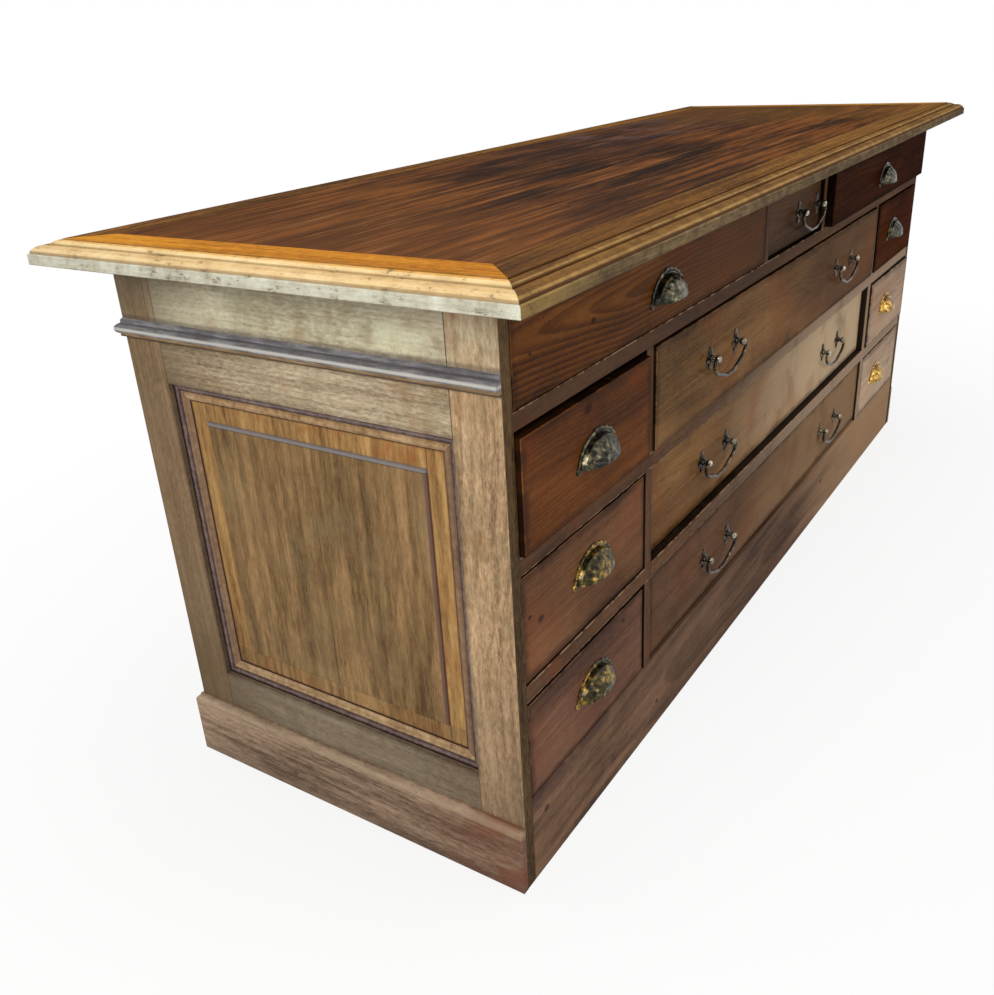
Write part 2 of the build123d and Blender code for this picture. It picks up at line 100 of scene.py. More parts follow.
class Finish:
    """One material, built from the place on the piece; its colour is laid on in layers."""

    def __init__(self, name):
        self.colour = None
        self.material = bpy.data.materials.new(name)
        self.material.use_nodes = True
        self.tree = self.material.node_tree
        self.tree.nodes.clear()
        self.place = self.node("ShaderNodeTexCoord", {}, {}, out="Object")
        split = self.tree.nodes.new("ShaderNodeSeparateXYZ")
        self.tree.links.new(self.place.socket, split.inputs[0])
        self.x, self.y, self.z = (Wire(self, s) for s in split.outputs)

    def node(self, kind, settings, values, out=0):
        made = self.tree.nodes.new(kind)
        stops = settings.pop("stops", None)
        for key, value in settings.items():
            setattr(made, key, value)
        if stops:
            ramp = made.color_ramp
            while len(ramp.elements) < len(stops):
                ramp.elements.new(0.5)
            for element, (at, colour) in zip(ramp.elements, stops):
                element.position, element.color = at, colour
        for key, value in values.items():
            if isinstance(value, Wire):
                self.tree.links.new(value.socket, made.inputs[key])
            else:
                made.inputs[key].default_value = value
        return Wire(self, made.outputs[out])

    def vector(self, x, y, z):
        return self.node("ShaderNodeCombineXYZ", {}, {0: x, 1: y, 2: z})

    def noise(self, at, scale=1.0, detail=2.0, rough=0.5):
        return self.node("ShaderNodeTexNoise", {}, {"Vector": at, "Scale": scale, "Detail": detail,
                                                    "Roughness": rough})

    def ramp(self, at, *stops):
        return self.node("ShaderNodeValToRGB", {"stops": stops}, {0: at})

    def tint(self, share, under, over):
        """over laid on under; each is a wire or a screen colour."""
        a, b = (v if isinstance(v, Wire) else srgb(*v) for v in (under, over))
        return self.node("ShaderNodeMix", {"data_type": "RGBA"}, {0: share, 6: a, 7: b}, out=2)

    def stain(self, share, over):
        """Lays a wire or a screen colour over the colour so far."""
        self.colour = self.tint(share, self.colour, over)

    def choose(self, share, a, b):
        """a where share is 0, b where it is 1."""
        return a + (b - a) * share

    def surface(self, rough, bump, metallic=0.0, depth=0.0004, strength=0.5, varnish=0.3):
        """The varnish thins towards a glancing view, where white surroundings would bleach it."""
        shader = self.tree.nodes.new("ShaderNodeBsdfPrincipled")
        facing = self.node("ShaderNodeLayerWeight", {}, {"Blend": 0.5}, out="Facing")
        relief = self.node("ShaderNodeBump", {}, {"Strength": strength, "Distance": depth, "Height": bump})
        values = {"Base Color": self.colour, "Roughness": rough, "Metallic": metallic, "Normal": relief,
                  "Coat Weight": (1.0 - facing) * varnish, "Coat Roughness": 0.22, "Specular IOR Level": 0.0}
        for key, value in values.items():
            if isinstance(value, Wire):
                self.tree.links.new(value.socket, shader.inputs[key])
            else:
                shader.inputs[key].default_value = value
        end = self.tree.nodes.new("ShaderNodeOutputMaterial")
        self.tree.links.new(shader.outputs[0], end.inputs[0])
        return self.material


# ---- timber
def timber(f, along, across, depth, seed, light, mid, dark, spacing=0.0045, heart=0.0, under=0.05, slope=0.012,
           rings=0.1, fibre=1.3, streak=0.9, cloud=0.9, fleck=(60.0, 260.0)):
    """Colour and tone of a board: growth rings cut by the saw, short fibres, long streaks and broad clouds."""
    drift = f.noise(f.vector(along * 1.7 + seed, across * 1.2 + seed * 0.7, seed), detail=1.0) - 0.5
    ripple = f.noise(f.vector(along * 11.0 + seed, across * 14.0, seed * 1.3), detail=2.0) - 0.5
    b = across - heart + drift * 0.06 + ripple * 0.004
    c = depth + along * slope + drift * 0.03 + under
    turn = ((b * b + c * c).sqrt() / spacing).fract()
    ring = turn.step(0.1, 0.85) * turn.step(1.0, 0.9)
    fine = f.noise(f.vector(along * fleck[0] + seed, across * fleck[1], depth * fleck[1]), detail=4.0, rough=0.75)
    long_ = f.noise(f.vector(along * 3.0 + seed * 2.0, across * 62.0 + seed, depth * 62.0), detail=4.0, rough=0.6)
    broad = f.noise(f.vector(along * 2.6 + seed, across * 8.0, depth * 8.0 + seed), detail=2.0)
    tone = ((ring - 0.45) * rings + (fine - 0.5) * fibre + (long_ - 0.5) * streak + (broad - 0.5) * cloud) + 0.5
    return f.ramp(tone, (0.15, srgb(*light)), (0.5, srgb(*mid)), (0.85, srgb(*dark))), tone


def clouds(f, seed, scale=6.0, detail=5.0):
    return f.noise(f.vector(f.x * scale + seed, f.y * scale, f.z * scale), detail=detail, rough=0.65)


def specks(f, seed):
    """Small dark dents and worm holes."""
    dots = f.noise(f.vector(f.x * 260.0 + seed, f.y * 260.0, f.z * 260.0), detail=1.0)
    where = clouds(f, seed + 5.0, 9.0, 3.0)
    return dots.step(0.70, 0.78) * where.step(0.48, 0.6)


def nearest_edge(u, v, box):
    """How far inside a rectangle a place is."""
    u0, u1, v0, v1 = box
    return (u - u0).least(u1 - u).least(v - v0).least(v1 - v)


def line(value, at, half):
    """1 on a thin line where value is at, fading over half its width."""
    return (value - at).abs().step(half, half * 0.3)


def anywhere(marks):
    """1 where any of the marks is."""
    total = marks[0]
    for mark in marks[1:]:
        total = total.most(mark)
    return total


def knot(f, x, z, r, ragged, flat=0.7, tall=1.5, core=0.35):
    """1 on a knot of radius r, which is wider than high and has a ragged rim."""
    gap = ((f.x - x) * (f.x - x) * flat + (f.z - z) * (f.z - z) * tall).sqrt() + (ragged - 0.5) * 0.006
    return gap.step(r, r * core)


# ---- sizes read from the solids
def corners(node):
    """The low and the high corner of a piece of the model."""
    low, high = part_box(node)
    return Vector(low), Vector(high)


end_low, end_high = corners("left_end_frame")
panel_low, panel_high = corners("left_end_panel")
field_low, field_high = corners("top_field")
top_low, top_high = corners("top_border")
plinth_low, plinth_high = corners("plinth_face")
bead_low, bead_high = corners("frieze_bead")
middle_y = (end_low.y + end_high.y) / 2
opening_half = (panel_high.y - panel_low.y) / 2
MOULDING, MARGIN = 0.026, 0.030
MUNTIN = 0.088  # the upright between two panels of the public side
BEAD_FOOT = 0.004  # how far below the frieze bead its dirt starts
BOARD_FLECK = (70.0, 230.0)  # how fine the fibres of the end boards are, along and across
ARRIS = 0.0009


def dress(node, material, arris=0.0):
    """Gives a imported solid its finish, and softens its sharp edges."""
    piece = nodes[node]
    piece.data.materials.clear()
    piece.data.materials.append(material)
    if arris:
        weld = piece.modifiers.new("weld", "WELD")
        weld.merge_threshold = 0.00001
        bevel = piece.modifiers.new("arris", "BEVEL")
        bevel.width, bevel.segments, bevel.limit_method = arris, 2, "ANGLE"
        bevel.angle_limit = math.radians(40)


# ---- the ends and the public side
def end_frame_finish():
    """Faded boards: greenish and pale on the frieze, tan on the uprights; browner and darker low down and towards
    the far side, which is painted shade.
    """
    f = Finish("faded_end_frame")
    outwards = (f.y - middle_y).abs()
    upright = outwards > opening_half
    flat, tone_a = timber(f, f.y, f.z, f.x, 1.3, (196, 180, 154), (160, 144, 120), (108, 90, 70), fleck=BOARD_FLECK)
    tall, tone_b = timber(f, f.z, f.y, f.x, 5.1, (204, 174, 138), (168, 138, 106), (108, 84, 62), fleck=BOARD_FLECK)
    f.colour, tone = f.tint(upright, flat, tall), f.choose(upright, tone_a, tone_b)
    age, fine_age = clouds(f, 2.0, 7.0), clouds(f, 14.0, 38.0)
    frieze = f.z.step(bead_low.z - BEAD_FOOT, bead_high.z - BEAD_FOOT)
    pale = f.ramp(tone, (0.0, srgb(222, 218, 196)), (0.5, srgb(190, 184, 158)), (1.0, srgb(134, 122, 98)))
    f.stain(frieze * f.choose(upright, 0.9, age.step(0.35, 0.6) * 0.6), pale)
    across, up = f.y + 0.175, f.z - 0.818
    patch = (across * across * 0.6 + up * up * 2.2).sqrt() + (fine_age - 0.5) * 0.05
    f.stain(patch.step(0.05, 0.01) * frieze * 0.6, (206, 206, 176))
    # Painted shadow under the overhang of the top.
    shadow_under_top = f.z.step(0.868, 0.886)
    f.stain(shadow_under_top * 0.35, (134, 104, 74))
    olive_ = (clouds(f, 8.0, 10.0) + (fine_age - 0.5) * 0.4).step(0.48, 0.66)
    f.stain(olive_ * 0.4, (120, 108, 80))
    russet = (clouds(f, 26.0, 9.0) + (fine_age - 0.5) * 0.4).step(0.52, 0.68)
    f.stain(russet * 0.28, (140, 98, 62))
    # Painted shade: darker towards the bottom.
    low = f.z.step(0.5, 0.1)
    f.stain(low * 0.5, (90, 74, 60))
    rail = (1.0 - upright) * (f.z < panel_low.z)
    f.stain(rail * 0.35, (84, 76, 64))
    # Painted shade: darker towards the far side.
    far = (f.y - middle_y).step(0.1, 0.32)
    f.stain(far * 0.75, (88, 72, 52))
    near_edge = nearest_edge(f.y, f.z, (end_low.y, end_high.y, -1.0, 0.8865)) + (fine_age - 0.5) * 0.02
    chipped = near_edge.step(0.0035, 0.0008) * fine_age.step(0.46, 0.6) * (f.y < middle_y)
    f.stain(chipped * 0.7, (196, 176, 140))
    joint = line(outwards, opening_half, 0.0010) * (f.z > panel_high.z).most(f.z < panel_low.z)
    f.stain(joint * 0.55, (70, 54, 38))
    opening = nearest_edge(f.y, f.z, (panel_low.y, panel_high.y, panel_low.z, panel_high.z))
    # Painted shade round the panel's opening, where the frame steps down to the moulding.
    opening_shade = opening.step(-0.010, 0.0) * opening.step(0.004, 0.0) * (fine_age * 0.8 + 0.1)
    f.stain(opening_shade * 0.75, (70, 52, 44))
    # Painted shadow lines under and over the frieze bead.
    shadow_under_bead = (f.z - bead_low.z).abs().step(0.004, 0.001)
    shadow_over_bead = (f.z - bead_high.z - 0.002).abs().step(0.007, 0.001)
    f.stain(shadow_under_bead.most(shadow_over_bead) * (fine_age * 0.7 + 0.2), (78, 64, 60))
    f.stain(specks(f, 3.0) * 0.7, (52, 40, 30))
    front = (f.y - end_low.y).step(0.0012, 0.0)
    strip, _ = timber(f, f.z, f.x, f.y, 7.0, (104, 80, 50), (74, 56, 36), (40, 28, 18), fleck=BOARD_FLECK)
    f.stain(front, strip)
    return f.surface(0.5 + (age - 0.5) * 0.3, tone - joint * 0.6 - specks(f, 3.0) * 0.5, depth=0.0007,
                     strength=0.5, varnish=0.2)


def public_frame_finish():
    """The same boards on the public side: a little darker, with their joints above and below the panels."""
    f = Finish("faded_public_frame")
    upright = (f.z > panel_low.z) * (f.z < panel_high.z)
    flat, tone_a = timber(f, f.x, f.z, f.y, 2.3, (186, 168, 138), (152, 130, 104), (106, 88, 68), fleck=BOARD_FLECK)
    tall, tone_b = timber(f, f.z, f.x, f.y, 6.1, (188, 158, 120), (154, 124, 94), (98, 76, 54), fleck=BOARD_FLECK)
    f.colour, tone = f.tint(upright, flat, tall), f.choose(upright, tone_a, tone_b)
    age = clouds(f, 4.0, 6.0)
    pale = f.ramp(tone, (0.1, srgb(196, 188, 158)), (0.5, srgb(162, 152, 122)), (0.9, srgb(108, 94, 72)))
    f.stain(f.z.step(bead_low.z - BEAD_FOOT, bead_high.z - BEAD_FOOT) * 0.8, pale)
    patches = (age + (clouds(f, 14.0, 38.0) - 0.5) * 0.4).step(0.48, 0.66)
    f.stain(patches * 0.4, (116, 98, 72))
    f.stain(f.z.step(0.4, 0.05) * 0.35, (98, 78, 62))
    joint = line(f.z, panel_low.z, 0.0009).most(line(f.z, panel_high.z, 0.0009))
    f.stain(joint * 0.6, (60, 44, 32))
    f.stain(specks(f, 7.0) * 0.6, (56, 42, 32))
    return f.surface(0.5 + (age - 0.5) * 0.3, tone, depth=0.0006, strength=0.6)


def bay(f, node, along_x, bays):
    """The run across one panel's bay, the bay's two sides, and its foot and head."""
    low, high = corners(node)
    u, start, end = (f.x, low.x, high.x) if along_x else (f.y, low.y, high.y)
    if bays > 1:
        pitch = (end - start + MUNTIN) / bays
        u, start, end = ((u - start) / pitch).fract() * pitch, 0.0, pitch - MUNTIN
    return u, start, end, low.z, high.z


def panel_finish(name, node, along_x, seed, bays=1):
    """Upright grain: golden, glossier margins round a browner, faded field with a joint down the middle."""
    f = Finish(name)
    across, through = (f.x, f.y) if along_x else (f.y, f.x)
    f.colour, tone = timber(f, f.z, across, through, seed, (154, 122, 84), (118, 92, 60), (78, 58, 36),
                          spacing=0.006, heart=0.04, under=0.04, rings=0.1, cloud=0.8, streak=1.1, fibre=1.1,
                          fleck=(40.0, 230.0))
    age, fine_age = clouds(f, seed, 7.0), clouds(f, seed + 3.0, 34.0)
    f.stain((age + (fine_age - 0.5) * 0.4).step(0.48, 0.68) * 0.4, (124, 108, 78))
    dark = (clouds(f, seed + 9.0, 5.0, 2.0) + (fine_age - 0.5) * 0.3).step(0.5, 0.68)
    f.stain(dark * 0.2, (88, 66, 44))
    u, start, end, foot, head = bay(f, node, along_x, bays)
    edge, set_in = nearest_edge(u, f.z, (start, end, foot, head)), MOULDING + MARGIN
    half = (start + end) / 2 + (0.004 if bays == 1 else 0.02)
    margin = edge.step(set_in + 0.0012, set_in - 0.001)
    gold = f.ramp(tone, (0.15, srgb(180, 142, 90)), (0.5, srgb(146, 112, 68)), (0.85, srgb(94, 64, 38)))
    top_run, bottom_run = (gap.step(set_in + 0.002, set_in) for gap in (head - f.z, f.z - foot))
    f.stain(margin * (0.95 - bottom_run * 0.6 + (fine_age - 0.5) * 0.5), gold)
    red = (clouds(f, seed + 4.0, 13.0, 2.0) + (fine_age - 0.5) * 0.3).step(0.48, 0.62)
    f.stain(red * margin * (top_run * 0.6 + 0.3) * 0.6, (132, 74, 34))
    # Painted reflections on the field's raised step: a dark purple band with a dark line down the right side, a
    # golden highlight down the left, a blue-grey reflection along the top and a painted shade line under it.
    rise = line(edge, set_in + 0.0022, 0.0042)
    from_top = line(head - f.z, set_in + 0.0022, 0.0044)
    from_right = line(u - start, set_in + 0.0022, 0.0042)
    f.stain(rise * from_right * 0.8, (96, 72, 70))
    f.stain(line(u - start, set_in - 0.0006, 0.0012) * margin.most(rise) * 0.7, (60, 38, 32))
    f.stain(rise * line(end - u, set_in + 0.0022, 0.0042) * 0.5, (166, 128, 78))
    f.stain(rise * from_top * 0.9, (120, 118, 122))
    f.stain(line(head - f.z, set_in + 0.0052, 0.0014) * (edge > set_in) * 0.6, (70, 60, 52))
    crack = line(u + (age - 0.5) * 0.006, half, 0.0011) * f.z.step(head - 0.1, head - 0.2)
    f.stain(crack * 0.6, (62, 44, 26))
    # Painted shade in the quirk where the margin meets the moulding.
    corner = edge.step(MOULDING + 0.0035, MOULDING + 0.0005)
    f.stain(corner * 0.7, (62, 38, 28))
    rough = f.choose(margin, 0.5 + (age - 0.5) * 0.3, 0.38)
    return f.surface(rough, tone - crack * 0.8, depth=0.0006, varnish=0.25)


def panel_moulding_finish(name, node, along_x, bays=1):
    """Purple-brown outer roll and a light tan inner bead, partly rubbed wood and partly painted highlight; painted
    shade marks its side runs, its quirks and the crease between roll and bead, and a painted highlight line runs
    along the roll.
    """
    f = Finish(name)
    u, start, end, foot, head = bay(f, node, along_x, bays)
    edge = nearest_edge(u, f.z, (start, end, foot, head))
    age = clouds(f, 3.0, 16.0)
    streaks = f.noise(f.vector(f.x * 90.0, f.y * 90.0, f.z * 90.0), detail=4.0, rough=0.7)
    mix = streaks * 0.6 + age * 0.4
    outer = f.ramp(mix, (0.35, srgb(124, 104, 98)), (0.52, srgb(84, 66, 64)), (0.7, srgb(46, 34, 32)))
    inner = f.ramp(mix, (0.35, srgb(180, 152, 116)), (0.55, srgb(140, 112, 80)), (0.72, srgb(92, 66, 44)))
    # Painted shade: the inner bead is darker down the side runs than along the top and bottom.
    side_run = (u - start).least(end - u) < (f.z - foot).least(head - f.z)
    inner = f.tint(side_run * 0.6, inner, (98, 72, 62))
    f.colour = f.tint(edge.step(0.0105, 0.0125), outer, inner)
    # Painted shade at the frame's step, at the crease between roll and bead and in the quirk at the panel, and a
    # painted highlight line on the roll.
    f.stain(edge.step(0.0032, 0.0008), (24, 17, 18))
    f.stain(line(edge, 0.0112, 0.0016) * 0.8, (40, 28, 26))
    f.stain(line(edge, 0.0065, 0.0016) * 0.4, (140, 124, 120))
    f.stain(edge.step(0.0245, 0.0255), (54, 34, 26))
    return f.surface(0.34 + (age - 0.5) * 0.2, streaks, depth=0.0003, strength=0.4, varnish=0.4)


def bead_finish():
    """Grey upper slope, a painted reflection, over a rubbed tan roll, with painted highlight and shade lines."""
    f = Finish("frieze_bead_wood")
    streaks = f.noise(f.vector(f.x * 22.0, f.y * 22.0, f.z * 260.0), detail=4.0, rough=0.7)
    age = clouds(f, 6.0, 14.0)
    mix = streaks * 0.6 + age * 0.4
    # The grey upper slope is a painted reflection.
    grey = f.ramp(mix, (0.35, srgb(146, 146, 150)), (0.52, srgb(104, 102, 106)), (0.7, srgb(62, 56, 58)))
    tan = f.ramp(mix, (0.35, srgb(176, 152, 118)), (0.55, srgb(130, 106, 78)), (0.72, srgb(80, 60, 44)))
    f.colour = f.tint(f.z.step(bead_low.z + 0.006, bead_low.z + 0.009), tan, grey)
    # A painted highlight line, a painted shadow line near the top, and painted shade at the foot of the roll.
    f.stain(line(f.z, bead_low.z + 0.0120, 0.0032) * 0.8, (186, 184, 178))
    f.stain(line(f.z, bead_low.z + 0.0195, 0.0016) * 0.6, (74, 68, 74))
    f.stain((f.z - bead_low.z).step(0.004, 0.0), (62, 46, 38))
    return f.surface(0.42 + (age - 0.5) * 0.3, mix, depth=0.0005, strength=0.5)


def skirting_finish():
    f = Finish("skirting_wood")
    end = f.x.abs() > plinth_high.x + 0.0005
    run = f.choose(end, f.x, f.y)
    f.colour, tone = timber(f, run, f.z, f.x * 0.2, 4.4, (170, 146, 124), (136, 113, 94), (90, 70, 56),
                            cloud=1.3, fleck=(50.0, 230.0))
    age = clouds(f, 1.0, 6.0)
    f.stain(age.step(0.5, 0.72) * 0.5, (132, 116, 92))
    near = (f.y - end_low.y).step(0.20, 0.02) * f.x.step(0.0, -0.5)
    red = clouds(f, 12.0, 16.0, 3.0).step(0.42, 0.6)
    f.stain(near * (red * 0.5 + 0.3), (112, 66, 48))
    f.stain(f.z.step(0.03, 0.0) * (age * 0.8), (86, 72, 62))
    # A painted highlight along the chamfer at the top of the plinth.
    f.stain((f.z - 0.108).abs().step(0.010, 0.002) * 0.35, (176, 156, 130))
    f.stain(specks(f, 9.0) * 0.8, (52, 38, 30))
    return f.surface(0.48 + (age - 0.5) * 0.3, tone, depth=0.0006, strength=0.6)


end_frame = end_frame_finish()
for side, seed in (("left", 2.2), ("right", 7.7)):
    panel, moulding = f"{side}_end_panel", f"{side}_panel_moulding"
    dress(f"{side}_end_frame", end_frame, ARRIS)
    dress(panel, panel_finish(f"{side}_panel_wood", panel, False, seed))
    dress(moulding, panel_moulding_finish(f"{side}_moulding_wood", moulding, False))
dress("back_frame", public_frame_finish(), ARRIS)
dress("back_panels", panel_finish("public_panel_wood", "back_panels", True, 4.4, 4))
dress("back_panel_mouldings", panel_moulding_finish("public_moulding_wood", "back_panel_mouldings", True, 4))
dress("frieze_bead", bead_finish())
dress("skirting", skirting_finish())

# ---- drawer side
# Each stile's left side, width, foot and head
STILES = [(plinth_low.x + 0.369, 0.022, 0.152, 0.715), (plinth_high.x - 0.402, 0.022, 0.152, 0.715),
          (plinth_low.x + 0.866, 0.020, 0.740, 0.856), (plinth_low.x + 1.218, 0.020, 0.740, 0.856)]

RAIL_EDGES = (0.152, 0.3215, 0.347, 0.5195, 0.545, 0.740)
PLINTH_KNOTS = ((-1.005, 0.108, 0.009), (-0.62, 0.05, 0.007), (0.35, 0.09, 0.009))


def face_frame_finish():
    """Brown varnish, redder and darker to the left, lighter and paler to the right and lower down under a painted
    reflection, with rubbed edges on the rails and near-black painted shade in the openings.
    """
    f = Finish("varnished_face_frame")
    upright = anywhere([(f.x > x - 0.0005) * (f.x < x + wide + 0.0005) * (f.z > z0) * (f.z < z1)
                        for x, wide, z0, z1 in STILES])
    joints = anywhere([line(f.x, side, 0.0008) for x, wide, _, _ in STILES for side in (x, x + wide)])
    flat, tone_a = timber(f, f.x, f.z, f.y, 1.9, (112, 78, 52), (84, 57, 37), (44, 28, 18), fibre=0.7)
    tall, tone_b = timber(f, f.z, f.x, f.y, 8.3, (114, 82, 58), (88, 62, 43), (46, 31, 20), fibre=0.7)
    f.colour, tone = f.tint(upright, flat, tall), f.choose(upright, tone_a, tone_b)
    age = clouds(f, 6.0, 9.0)
    # Painted reflection: lighter and paler towards the right and lower down.
    painted_sheen = f.x.step(-0.6, 0.4) * f.z.step(0.73, 0.5)
    f.stain(painted_sheen * 0.85, (160, 136, 112))
    f.stain(age.step(0.52, 0.72) * 0.4, (62, 38, 26))
    red = clouds(f, 15.0, 12.0, 2.0).step(0.54, 0.64) * f.x.step(-0.2, -0.7)
    f.stain(red * 0.5, (108, 58, 32))
    f.stain(f.z.step(0.708, 0.72) * f.x.step(0.5, -0.3) * 0.45, (48, 28, 16))
    f.stain(joints * upright * 0.6, (36, 24, 17))
    chips = clouds(f, 3.0, 40.0, 3.0).step(0.44, 0.56)
    worn_line = anywhere([line(f.z, z - 0.0008, 0.0014) for z in RAIL_EDGES])
    f.stain(worn_line * chips * 0.55, (178, 146, 118))
    # Painted shade: every surface set back from the front face, the sides of the openings, is painted near black.
    gap_shade = f.y.step(plinth_low.y + 0.0009, plinth_low.y + 0.0022)
    f.stain(gap_shade * 0.93, (16, 10, 7))
    f.stain(specks(f, 2.0) * 0.7, (32, 22, 16))
    return f.surface(0.46 + (age - 0.5) * 0.3, tone, depth=0.0005, strength=0.6)


def plinth_finish():
    """One long board with open grain and a few knots, lighter to the right under a painted reflection."""
    f = Finish("plinth_board_wood")
    f.colour, tone = timber(f, f.x, f.z, f.y, 6.6, (138, 104, 80), (106, 78, 58), (60, 42, 30), fibre=0.8,
                            heart=0.07, under=0.03,
                          spacing=0.008, rings=0.22, cloud=1.4)
    age = clouds(f, 5.0, 5.0)
    f.stain(age.step(0.5, 0.72) * 0.45, (78, 54, 42))
    f.stain(f.z.step(0.11, 0.152) * f.x.step(0.1, -0.9) * 0.5, (74, 50, 48))
    # Painted reflection: lighter and paler towards the right.
    painted_sheen = f.x.step(0.0, 0.75)
    f.stain(painted_sheen * 0.8, (166, 132, 98))
    f.stain(f.x.step(-0.9, -0.4) * f.x.step(0.4, 0.0) * 0.35, (66, 46, 34))
    worn = clouds(f, 17.0, 11.0, 3.0).step(0.52, 0.66) * f.x.step(-0.4, -1.0)
    f.stain(worn * 0.4, (126, 98, 68))
    knots = anywhere([knot(f, x, z, r, age, 1.0, 1.6, 0.5) for x, z, r in PLINTH_KNOTS])
    f.stain(knots * 0.75, (48, 30, 22))
    f.stain(specks(f, 4.0) * 0.7, (38, 26, 20))
    return f.surface(0.46 + (age - 0.5) * 0.3, tone, depth=0.0005, strength=0.6)


def drawer_finish(name, number, light, mid, dark, rough=0.42, spacing=0.005, heart=0.0, under=0.05, slope=0.012,
                  rings=0.1, streak=0.55, cloud=1.2, varnish=0.25, knots=(), right_edge=None, right_share=0.0,
                  red=0.3):
    """One front: its own board, with dirt and painted shade along its edges, near-black painted shade on its sides,
    rubbed arrises, knots and uneven varnish.
    """
    (x0, y0, z0), (x1, y1, z1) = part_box(f"front_{name}")
    f = Finish(f"drawer_{name}")
    seed = 3.17 * number + 1.0
    f.colour, tone = timber(f, f.x, f.z - (z0 + z1) / 2, f.y - y0, seed, light, mid, dark, spacing, heart,
                            under, slope,
                          rings=rings, streak=streak, cloud=cloud, fibre=0.6)
    age = clouds(f, seed, 8.0)
    # right_edge lays a colour over the right part of the front; where it is paler than the front it is a painted
    # reflection.
    if right_edge:
        f.stain(f.x.step(x0 + (x1 - x0) * 0.15, x0 + (x1 - x0) * 0.8) * right_share, right_edge)
    warm = clouds(f, seed + 6.0, 6.0, 2.0).step(0.5, 0.66)
    f.stain(warm * red, (mid[0] * 1.12, mid[1] * 0.86, mid[2] * 0.66))
    f.stain(age.step(0.54, 0.74) * 0.45, tinted(mid, 0.62))
    near = nearest_edge(f.x, f.z, (x0, x1, z0, z1))
    smear = f.noise(f.vector(f.x * 16.0 + seed, f.y, f.z * 26.0 + seed), detail=4.0, rough=0.65)
    # Darker near the edges: dirt, and painted shade that deepens the gaps round the front.
    dirt = (near + (smear - 0.5) * 0.03).step(0.016, 0.0)
    f.stain(dirt * 0.55, tinted(dark, 0.5))
    for x, z, r in knots:
        f.stain(knot(f, x, z, r, smear) * 0.75, tinted(dark, 0.5))
    rub = (near + (smear - 0.5) * 0.005).step(0.0022, 0.0004) * smear.step(0.45, 0.58)
    f.stain(rub * 0.35, tinted(light, 1.35))
    f.stain(specks(f, seed) * 0.7, tinted(dark, 0.5))
    # Painted shade: the front's side faces, which face the gaps, are painted near black.
    side = f.y.step(y0 + 0.0009, y0 + 0.002)
    f.stain(side * 0.9, (20, 13, 9))
    inside = f.y.step(y1 - 0.0014, y1 - 0.0004) * (near > 0.001)
    f.stain(inside, f.ramp(tone, (0.15, srgb(176, 142, 100)), (0.5, srgb(150, 118, 80)), (0.85, srgb(108, 80, 52))))
    scratches = f.noise(f.vector(f.x * 30.0 + seed, f.y, f.z * 700.0), detail=2.0, rough=0.6).step(0.68, 0.74)
    f.stain(scratches * age.step(0.45, 0.6) * 0.25, tinted(light, 1.3))
    return f.surface(rough + (age - 0.5) * 0.25, tone, depth=0.0004, strength=0.5, varnish=varnish)


FRONTS = {
    "top_left": dict(light=(124, 74, 26), mid=(92, 50, 12), dark=(46, 24, 8), rough=0.34, spacing=0.0075,
                     under=0.02,
                     slope=0.045, rings=0.3, heart=0.012, right_edge=(82, 52, 30), right_share=0.7,
                     knots=((-0.84, 0.80, 0.007), (-1.0, 0.80, 0.005))),
    "top_middle": dict(light=(92, 62, 40), mid=(70, 46, 28), dark=(38, 24, 15)),
    "top_right": dict(light=(72, 36, 14), mid=(52, 22, 6), dark=(28, 12, 5), rough=0.36, rings=0.2, varnish=0.1),
    "left_1": dict(light=(126, 76, 36), mid=(97, 54, 20), dark=(54, 29, 14), rough=0.38, red=0.5,
                   knots=((-0.873, 0.690, 0.013), (-0.80, 0.60, 0.006))),
    "left_2": dict(light=(136, 92, 62), mid=(106, 71, 47), dark=(62, 40, 27),
                   knots=((-0.996, 0.430, 0.010), (-1.024, 0.447, 0.006))),
    "left_3": dict(light=(140, 98, 74), mid=(109, 75, 58), dark=(64, 44, 34), knots=((-0.75, 0.29, 0.006),)),
    "centre_1": dict(light=(142, 104, 64), mid=(112, 80, 48), dark=(64, 44, 26), right_edge=(86, 58, 40),
                     right_share=0.6),
    # centre_2 and centre_3: the pale right_edge colour is a painted reflection.
    "centre_2": dict(light=(146, 108, 68), mid=(116, 82, 48), dark=(70, 48, 29), right_edge=(190, 164, 132),
                     right_share=0.95),
    "centre_3": dict(light=(122, 86, 62), mid=(92, 64, 45), dark=(54, 37, 26), right_edge=(140, 110, 78),
                     right_share=0.85),
    "right_1": dict(light=(92, 50, 22), mid=(68, 30, 10), dark=(36, 16, 7), rough=0.36, varnish=0.1),
    # right_2 and right_3: pale, greyish palettes, the fronts' colour with a painted reflection laid into it.
    "right_2": dict(light=(196, 168, 144), mid=(172, 146, 124), dark=(124, 98, 78), cloud=0.8),
    "right_3": dict(light=(206, 180, 154), mid=(181, 156, 132), dark=(132, 108, 86), cloud=0.8),
}
dress("face_frame", face_frame_finish(), ARRIS)
dress("plinth_face", plinth_finish(), 0.001)
for number, (name, look) in enumerate(FRONTS.items()):
    dress(f"front_{name}", drawer_finish(name, number, **look))


def bare_finish():
    """Unvarnished softwood of the drawers' boxes and the boards inside the case."""
    f = Finish("bare_boards")
    f.colour, tone = timber(f, f.y, f.x, f.z, 8.8, (186, 150, 106), (156, 122, 82), (108, 80, 52))
    f.stain(clouds(f, 3.0, 5.0).step(0.5, 0.75) * 0.4, (112, 92, 70))
    return f.surface(0.7, tone, depth=0.0005, strength=0.6)


bare = bare_finish()
for node in nodes:
    if node.startswith("box_") or node in ("partitions", "dust_boards"):
        dress(node, bare)


